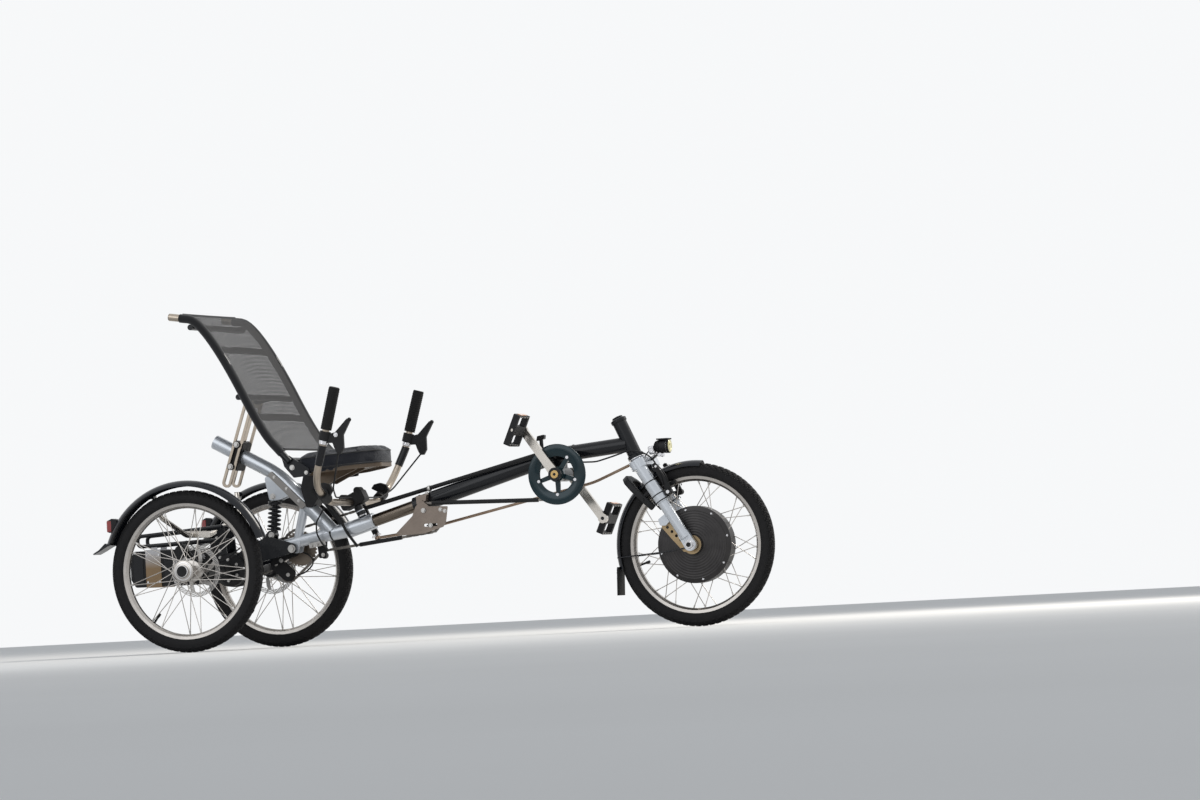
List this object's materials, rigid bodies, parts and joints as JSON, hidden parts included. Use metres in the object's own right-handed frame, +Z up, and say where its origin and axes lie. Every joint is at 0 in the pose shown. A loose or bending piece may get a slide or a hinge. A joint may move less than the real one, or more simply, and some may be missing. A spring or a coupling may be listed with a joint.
{
  "type": "recumbent trike",
  "caption": "Recumbent delta trike with a steered front wheel with hub motor, under-seat steering, reclined mesh seat, chain drive through tubes and sprung rear axle.",
  "frame": {"origin": "on the floor below the middle of the trike's length and width", "axes": "+X forward, +Y to the rider's left, +Z up"},
  "size_m": [2.114, 0.837, 1.0549],
  "materials": {
    "silver_frame": "gloss",
    "black_frame": "gloss",
    "dark_tube": "gloss",
    "steel": "satin",
    "grey_plate": "satin",
    "motor": "satin",
    "alloy": "satin",
    "black_plastic": "satin",
    "gloss_black": "gloss",
    "tyre": "matte",
    "rubber": "matte",
    "cushion": "matte",
    "mesh": "matte",
    "red_lens": "gloss",
    "lens": "gloss",
    "link_brown": "satin"
  },
  "bodies": {
    "frame": {"lower_tube": "silver_frame", "seat_tube": "silver_frame", "side_rails": "grey_plate", "inner_tube": "dark_tube", "front_boom": "black_frame", "head_tube": "black_frame", "crank_shell": "black_frame", "steering_bearing": "black_frame", "axle_housing": "black_frame", "swing_arm": "silver_frame", "spring_and_damper": "steel", "tube_boot": "rubber", "cassette": "steel", "derailleur": "black_plastic", "rear_chain": "steel", "drive_chain": "steel", "chain_tubes": "black_plastic", "chain_plate": "grey_plate", "idlers": "black_plastic", "battery": "black_plastic", "battery_band": "alloy", "rear_rack": "black_frame", "mudguard_tube": "alloy", "rear_mudguards": "gloss_black", "tail_lights": "black_plastic", "tail_lenses": "red_lens", "rear_calipers": "black_plastic", "seat_base": "black_plastic", "seat_pan": "black_frame", "seat_cushion": "cushion", "backrest_frame": "black_frame", "backrest_sling": "mesh", "slotted_bars": "steel", "bar_clamp": "black_plastic", "cables": "black_plastic"},
    "fork": {"fork": "silver_frame", "torque_arm": "steel", "front_mudguard": "gloss_black", "headlight": "black_plastic", "headlight_lens": "lens", "front_brake": "black_plastic"},
    "front_wheel": {"front_tyre": "tyre", "front_rim": "alloy", "hub_motor": "motor"},
    "rear_wheel_right": {"rear_tyre_right": "tyre", "rear_wheel_right": "alloy", "brake_disc_right": "steel"},
    "rear_wheel_left": {"rear_tyre_left": "tyre", "rear_wheel_left": "alloy", "brake_disc_left": "steel"},
    "crank": {"cranks": "alloy", "chainring": "gloss_black"},
    "pedal_right": {"pedal_right": "black_plastic"},
    "pedal_left": {"pedal_left": "black_plastic"},
    "handlebar": {"handlebar": "alloy", "stem_clamp": "black_frame", "grips": "rubber", "brake_levers": "black_plastic", "bar_cables": "black_plastic"},
    "drag_link": {"drag_link": "link_brown"}
  },
  "joints": [
    {"name": "steer", "type": "hinge", "parent": "frame", "child": "fork", "pos_m": [0.624, 0, 0.532], "axis": [-0.4067, 0, 0.9135], "range_deg": [-30, 30]},
    {"name": "handlebar_turn", "type": "hinge", "parent": "frame", "child": "handlebar", "pos_m": [-0.307, 0, 0.447], "axis": [-0.4067, 0, 0.9135], "range_deg": [-30, 30]},
    {"name": "drag_link_turn", "type": "hinge", "parent": "handlebar", "child": "drag_link", "pos_m": [-0.25961, 0.056, 0.3258], "axis": [-0.4067, 0, 0.9135], "range_deg": [-30, 30]},
    {"name": "front_spin", "type": "hinge", "parent": "fork", "child": "front_wheel", "pos_m": [0.807, 0, 0.25], "axis": [0, 1, 0], "continuous": true},
    {"name": "rear_spin_right", "type": "hinge", "parent": "frame", "child": "rear_wheel_right", "pos_m": [-0.724, -0.3725, 0.25], "axis": [0, 1, 0], "continuous": true},
    {"name": "rear_spin_left", "type": "hinge", "parent": "frame", "child": "rear_wheel_left", "pos_m": [-0.724, 0.3725, 0.25], "axis": [0, 1, 0], "continuous": true},
    {"name": "crank_spin", "type": "hinge", "parent": "frame", "child": "crank", "pos_m": [0.384, 0, 0.488], "axis": [0, 1, 0], "continuous": true},
    {"name": "pedal_spin_right", "type": "hinge", "parent": "crank", "child": "pedal_right", "pos_m": [0.28534, -0.12, 0.62889], "axis": [0, 1, 0], "continuous": true},
    {"name": "pedal_spin_left", "type": "hinge", "parent": "crank", "child": "pedal_left", "pos_m": [0.48266, 0.13, 0.34711], "axis": [0, 1, 0], "continuous": true}
  ],
  "couplings": [
    {"joint": "handlebar_turn", "follows": "steer", "ratio": 1},
    {"joint": "drag_link_turn", "follows": "steer", "ratio": -1}
  ]
}
